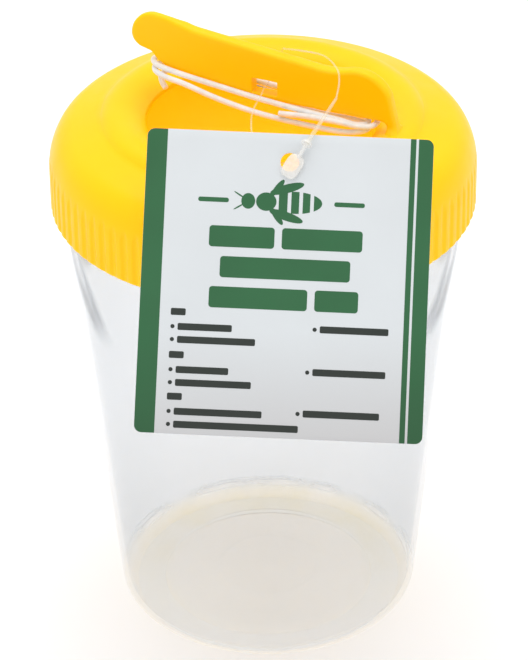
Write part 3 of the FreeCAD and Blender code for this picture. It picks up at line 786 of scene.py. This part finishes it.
def build_cord():
    """The cord, wound lengthwise round the hanger plate under its root and round the tab's neck. Each turn
    has its stations together, and its free end hangs from the last."""
    front, out, back = -2.55, -4.0, 2.55
    stations = [
        (5.8, out, 132.0), (13.0, out, 132.6), (21.0, out, 132.6), (24.5, -3.7, 132.3), (27.0, -2.3, 132.0),
        (27.8, 0.0, 131.9), (26.8, 2.5, 132.0), (23.5, 3.9, 132.4), (12.0, 3.2, 134.1), (0.0, 2.75, 135.3),
        (-12.0, 2.7, 136.9), (-21.5, 2.7, 138.1), (-25.2, 2.1, 138.0), (-26.7, 0.0, 137.95),

        (-25.4, -1.9, 137.75), (-22.5, front, 137.3), (-7.0, front, 134.95), (0.0, front, 134.05),
        (10.0, front, 133.1), (20.0, front, 132.35), (23.6, -2.4, 131.9), (25.3, -1.5, 131.75),
        (25.8, 0.0, 131.7), (24.8, 1.7, 131.75), (22.0, back, 131.9), (12.0, back, 132.5), (0.0, back, 133.6),
        (-12.0, back, 135.2), (-21.5, back, 136.4), (-25.0, 1.8, 136.35), (-26.3, 0.0, 136.3),

        (-25.4, -2.2, 136.15), (-22.5, -3.9, 136.0), (-17.7, -4.0, 135.1), (-10.0, -3.9, 132.95),
        (0.0, -3.7, 131.0), (13.0, -3.6, 130.1), (20.5, -3.6, 130.1), (23.6, -3.1, 130.3),
        (25.3, -1.6, 130.25), (25.8, 0.0, 130.2), (24.6, 1.6, 130.2), (22.0, 2.5, 130.2), (12.0, 2.6, 130.3),
        (0.0, 2.6, 131.6), (-12.0, 2.6, 133.3), (-20.5, 2.5, 134.5), (-24.2, 1.5, 134.5), (-25.0, 0.0, 133.9),

        (-24.3, -1.2, 133.0), (-23.0, -2.1, 132.0),
    ]
    path = smooth_curve([hanger_point(*station) for station in stations], CORD_STEP)
    cord = mesh_object("cord", *tube(path, CORD_RADIUS, CORD_SIDES), sharp=60)
    finished(cord, CORD_WHITE, "lid", "cord", "hanging_cord")


# ---------------------------------------------------------------- tag

TAG_HOLE = Vector(JOINTS["tag_swing"]["pos_m"]) * 1000
TAG_RIGHT = -Vector(JOINTS["tag_swing"]["axis"]).normalized()
TAG_LEAN = math.radians(37.0)
TAG_OUT = Vector((0, -math.cos(TAG_LEAN), math.sin(TAG_LEAN)))
TAG_UP = TAG_OUT.cross(TAG_RIGHT)
TAG_WIDTH, TAG_TALL, TAG_THICK = 62.0, 66.0, 0.4
TAG_CORNER = 1.6
TAG_ROUND = 0.08
HOLE_DROP = 6.2
HOLE_RADIUS = 2.0
HOLE_STEPS = 40

INK_LOW, INK_HIGH = 0.005, 0.025
INK_LAYER = 0.004
INK_MARGIN = 0.02
HEADLINES = (
    (14.3, 20.6, 28.4, 25.2), (30.0, 20.6, 47.4, 25.2), (16.9, 27.2, 45.0, 31.8),
    (14.8, 33.8, 36.0, 38.4), (37.6, 33.8, 47.0, 38.4),
)
FLANK_LINES = (11.6, 41.0)
# Blocks of small print: their top, the lengths of the left and right lines, and where the right line starts.
PRINT_BLOCKS = ((38.9, 18.3, 16.3, 37.5), (48.2, 17.8, 17.2, 36.3), (57.2, 28.3, 17.9, 34.6))
PRINT_HIGH = 1.5
PRINT_LEFT = 6.8
BULLET = 0.45


def card_point(across, down, height):
    """A point on the card from its top left corner, this high above its back face."""
    x = across - TAG_WIDTH / 2
    y = HOLE_DROP - down
    return TAG_HOLE + TAG_RIGHT * x + TAG_UP * y + TAG_OUT * height


def decal(loop, layer=0):
    """A printed shape on the card's front, as a film of ink from its outline in card measures. Films that
    cross lie in different layers."""
    count = len(loop)
    heights = (INK_LOW, INK_HIGH + INK_LAYER * layer)
    points = [card_point(p.x, p.y, TAG_THICK + height) for height in heights for p in loop]
    faces = [tuple(range(count, 2 * count)), tuple(reversed(range(count)))]
    for k in range(count):
        after = (k + 1) % count
        faces.append((k, after, after + count, k + count))
    return points, faces


def bar(left, top, right, bottom, rounding):
    """A printed bar."""
    corners = [(left, bottom), (right, bottom), (right, top), (left, top)]
    return decal(outline([(x, y, rounding) for x, y in corners]))


def oval(x, y, half_x, half_y, tilt=0.0, layer=0, count=36):
    """A printed oval."""
    c, s = math.cos(tilt), math.sin(tilt)
    loop = []
    for k in range(count):
        a = -math.tau * k / count
        u, v = half_x * math.cos(a), half_y * math.sin(a)
        loop.append(Vector((x + u * c - v * s, y + u * s + v * c)))
    return decal(loop, layer)


def oval_slice(x, y, half_x, half_y, first, last, count=14):
    """The part of an oval between two places along its length."""
    loop = []
    for side in (1, -1):
        for k in range(count + 1):
            share = k / count if side > 0 else 1 - k / count
            u = first + (last - first) * share
            loop.append(Vector((x + u, y + side * half_y * math.sqrt(max(0.0, 1 - (u / half_x) ** 2)))))
    return decal(loop)


def insect(x, y):
    """A plain flying insect seen from above: head, thorax, banded abdomen, four wings and feelers."""
    shapes = [oval(x - 7.6, y, 1.5, 1.7), oval(x - 3.7, y, 2.2, 2.0, layer=3)]
    edges = (-1.0, 0.9, 1.7, 3.4, 4.2, 5.8, 6.6, 8.4)
    for first, last in zip(edges[::2], edges[1::2]):
        shapes.append(oval_slice(x + 2.4, y, 6.0, 2.4, first - 2.4, last - 2.4))
    for side in (1, -1):
        shapes.append(oval(x + 0.7, y + side * 3.0, 3.8, 0.95, side * 0.30, layer=2))
        shapes.append(oval(x - 1.3, y + side * 3.1, 2.2, 0.65, side * 0.95, layer=1))
        shapes.append(oval(x - 9.6, y + side * 1.3, 1.3, 0.16, side * -0.55, layer=1))
    return merge(shapes)


def edge_stripe(left, right, left_round, right_round):
    """A stripe down the whole card, with round corners where it meets the card's own."""
    low, high = TAG_TALL - INK_MARGIN, INK_MARGIN
    return decal(outline([(left, low, left_round), (right, low, right_round),
                          (right, high, right_round), (left, high, left_round)]))


def green_print():
    """The green side stripes, headline bars and a plain insect pictogram between two lines."""
    shapes = [bar(57.0, INK_MARGIN, 58.2, TAG_TALL - INK_MARGIN, 0.0)]
    shapes.append(edge_stripe(INK_MARGIN, 4.4, TAG_CORNER, 0.0))
    shapes.append(edge_stripe(58.75, TAG_WIDTH - INK_MARGIN, 0.0, TAG_CORNER))
    for left, top, right, bottom in HEADLINES:
        shapes.append(bar(left, top, right, bottom, 0.7))
    for left in FLANK_LINES:
        shapes.append(bar(left, 14.5, left + 6.6, 15.5, 0.45))
    shapes.append(insect(30.0, 15.0))
    return merge(shapes)


def dark_print():
    """Small dark bars and round bullets where a card carries its small print."""
    shapes = []
    for top, left_run, right_run, right_start in PRINT_BLOCKS:
        shapes.append(bar(PRINT_LEFT, top, PRINT_LEFT + 3.2, top + PRINT_HIGH, 0.3))
        for row, run in ((3.2, left_run * 0.72), (6.0, left_run)):
            line = top + row
            shapes.append(oval(PRINT_LEFT + 0.5, line + PRINT_HIGH / 2, BULLET, BULLET))
            shapes.append(bar(PRINT_LEFT + 1.6, line, PRINT_LEFT + 0.1 + run, line + PRINT_HIGH, 0.3))
        line = top + 2.6
        shapes.append(oval(right_start + 0.4, line + 0.8, BULLET, BULLET))
        shapes.append(bar(right_start + 1.5, line, right_start + right_run, line + PRINT_HIGH, 0.3))
    return merge(shapes)


def build_tag():
    """The card with its hole, and its print as thin shapes on its front."""
    places = ((0, -TAG_TALL), (TAG_WIDTH, -TAG_TALL), (TAG_WIDTH, 0), (0, 0))
    outer = outline([(x, y, TAG_CORNER) for x, y in places], longest=3.0)
    middle = Vector((TAG_WIDTH / 2, -HOLE_DROP))
    hole = []
    for k in range(HOLE_STEPS):
        angle = -math.tau * k / HOLE_STEPS
        hole.append(middle + Vector((math.cos(angle), math.sin(angle))) * HOLE_RADIUS)
    points, faces = slab(outer, [hole], TAG_THICK / 2, TAG_ROUND, 3.0, rings=3)
    placed = [card_point(p.x, -p.y, p.z + TAG_THICK / 2) for p in points]
    card = mesh_object("tag_card", placed, faces, sharp=50)
    finished(card, CARD_WHITE, "tag", "card", "hang_tag")
    finished(mesh_object("tag_print_green", *green_print(), sharp=50), PRINT_GREEN, "tag", "card")
    finished(mesh_object("tag_print_dark", *dark_print(), sharp=50), PRINT_DARK, "tag", "card")


# ---------------------------------------------------------------- loop pin

PADDLE_HALF = Vector((1.9, 2.75, 0.48))
PADDLE_SQUARENESS = 3.4
RIDGE_HIGH, RIDGE_RATE = 0.18, 9.0
PADDLE_LIFT, PADDLE_RIGHT, PADDLE_DROP = 0.8, 0.65, 1.0
PIN_COLLAR = Vector((9.5, -37.3, 141.4))
NEEDLE_TIP = Vector((16.1, -27.5, 147.1))
NECK_RADIUS, NECK_START = 0.42, 2.0
COLLAR_RADIUS, COLLAR_HALF = 1.2, 0.3
NEEDLE_RADIUS, NEEDLE_TAPER = 0.56, 0.26
NEEDLE_STEPS = 12
STRAND_RADIUS = 0.21
STRAND_STEP, STRAND_SIDES = 0.5, 12
STRAND_RIGHT = 0.4    # where the strand passes through the card's hole


def ball():
    """A ball of radius 1 as points and faces."""
    rows = 16
    profile = []
    for k in range(rows + 1):
        angle = math.pi * (k / rows - 0.5)
        profile.append((math.cos(angle), math.sin(angle)))
    return lathe(profile, 32, closed=False)


def paddle(middle, turn):
    """The pin's flat rounded paddle, with fine ridges across it."""
    points, faces = ball()
    leaf = []
    power = PADDLE_SQUARENESS
    for p in points:
        bulk = (abs(p.x) ** power + abs(p.y) ** power) ** (1 / power) or 1.0
        widen = math.hypot(p.x, p.y) / bulk
        ridge = 1.0 + RIDGE_HIGH * math.cos(p.y * RIDGE_RATE)
        wide, tall, thick = PADDLE_HALF.x * widen, PADDLE_HALF.y * widen, PADDLE_HALF.z * ridge
        leaf.append(middle + turn @ Vector((p.x * wide, p.y * tall, p.z * thick)))
    return leaf, faces


def build_pin():
    """The nylon loop pin: paddle, neck, collar, needle, and the strand through the slot and the card."""
    middle = TAG_HOLE + TAG_OUT * (TAG_THICK + PADDLE_LIFT) + TAG_RIGHT * PADDLE_RIGHT - TAG_UP * PADDLE_DROP
    hole = TAG_HOLE + TAG_OUT * TAG_THICK + TAG_RIGHT * STRAND_RIGHT
    reach = PIN_COLLAR - middle
    reach = (reach - TAG_OUT * reach.dot(TAG_OUT)).normalized()
    turn = Matrix((reach.cross(TAG_OUT), reach, TAG_OUT)).transposed()
    neck = tube([middle + reach * NECK_START, PIN_COLLAR], NECK_RADIUS)
    along = (NEEDLE_TIP - PIN_COLLAR).normalized()
    disc = tube([PIN_COLLAR - along * COLLAR_HALF, PIN_COLLAR + along * COLLAR_HALF], COLLAR_RADIUS, 24)
    needle_path = [PIN_COLLAR.lerp(NEEDLE_TIP, k / NEEDLE_STEPS) for k in range(NEEDLE_STEPS + 1)]
    needle = tube(needle_path, lambda share: NEEDLE_RADIUS - NEEDLE_TAPER * share)
    over = [
        hanger_point(1.2, -1.6, 136.5), hanger_point(1.3, 1.4, 137.0), hanger_point(2.0, 2.7, 138.9),
        hanger_point(3.2, 2.9, 142.0), hanger_point(4.4, 1.9, 145.2), hanger_point(5.8, 0.2, 146.3),
        Vector((9.3, -5.2, 147.3)), Vector((13.8, -9.0, 148.0)), Vector((16.4, -14.0, 147.7)),
        Vector((16.9, -21.6, 148.1)), NEEDLE_TIP,
    ]
    under = [
        hole, Vector((4.9, -36.2, 135.9)), Vector((1.6, -32.4, 135.3)), Vector((-1.9, -26.0, 136.7)),
        Vector((-2.5, -18.0, 136.6)), Vector((-1.7, -10.0, 136.0)), Vector((-0.2, -4.4, 136.0)), over[0],
    ]
    upper = tube(smooth_curve(over, STRAND_STEP), STRAND_RADIUS, STRAND_SIDES)
    lower = tube(smooth_curve(under, STRAND_STEP), STRAND_RADIUS, STRAND_SIDES)
    head = mesh_object("pin_head", *merge([paddle(middle, turn), neck, disc]), sharp=50)
    front = mesh_object("pin_needle_and_strand", *merge([needle, upper]), sharp=50)
    behind = mesh_object("pin_strand_behind", *lower, sharp=50)
    for piece, nylon in ((head, PADDLE_NYLON), (front, STRAND_NYLON), (behind, STRAND_NYLON)):
        piece.data.materials.append(nylon)
        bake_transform(piece)
    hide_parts("loop_pin")


# ---------------------------------------------------------------- stage

FLOOR_SIZE = 8.0
FLOOR_COLOUR = (0.925, 0.945, 0.98)
SKY_STRENGTH = 0.80
# Lamps: name, place, size and power.
LAMPS = (
    ("top", (0.0, 0.25, 1.4), 1.2, 9.7),
    ("left", (-0.9, -0.8, 0.9), 0.35, 1.8),
    ("right", (1.0, -0.7, 0.8), 0.3, 1.4),
)
LAMP_AIM = Vector((0, 0, 0.08))
CAMERA_PLACE = Vector((0, -0.658, 0.482))
CAMERA_AIM = Vector((-0.0003, 0, 0.0708))
CAMERA_ROLL = math.radians(-0.78)
CAMERA_LENS = 178.7
CAMERA_SENSOR = 36.0


def build_stage():
    """A pale floor, soft studio light and the camera."""
    bpy.ops.mesh.primitive_plane_add(size=FLOOR_SIZE, location=(0, 0, 0))
    floor = bpy.context.object
    floor.name = "floor"
    s = Shader("floor_white")
    s.put("Base Color", FLOOR_COLOUR)
    s.put("Roughness", 0.9)
    floor.data.materials.append(s.material)
    world = bpy.data.worlds.new("studio")
    bpy.context.scene.world = world
    world.use_nodes = True
    sky = world.node_tree.nodes["Background"]
    sky.inputs["Color"].default_value = (1, 1, 1, 1)
    sky.inputs["Strength"].default_value = SKY_STRENGTH
    for name, place, size, power in LAMPS:
        light = bpy.data.lights.new(name, "AREA")
        light.energy = power
        light.size = size
        lamp = bpy.data.objects.new(name, light)
        bpy.context.scene.collection.objects.link(lamp)
        lamp.location = place
        lamp.rotation_euler = (LAMP_AIM - Vector(place)).to_track_quat("-Z", "Y").to_euler()
    camera = bpy.data.objects.new("camera", bpy.data.cameras.new("camera"))
    bpy.context.scene.collection.objects.link(camera)
    camera.location = CAMERA_PLACE
    facing = (CAMERA_AIM - CAMERA_PLACE).to_track_quat("-Z", "Y").to_matrix().to_4x4()
    camera.rotation_euler = (facing @ Matrix.Rotation(CAMERA_ROLL, 4, "Z")).to_euler()
    camera.data.lens = CAMERA_LENS
    camera.data.sensor_width = CAMERA_SENSOR
    bpy.context.scene.camera = camera
    bpy.context.scene.view_settings.view_transform = "Standard"


build_cup()
build_funnel()
build_lid()
build_cord()
build_tag()
build_pin()
build_stage()
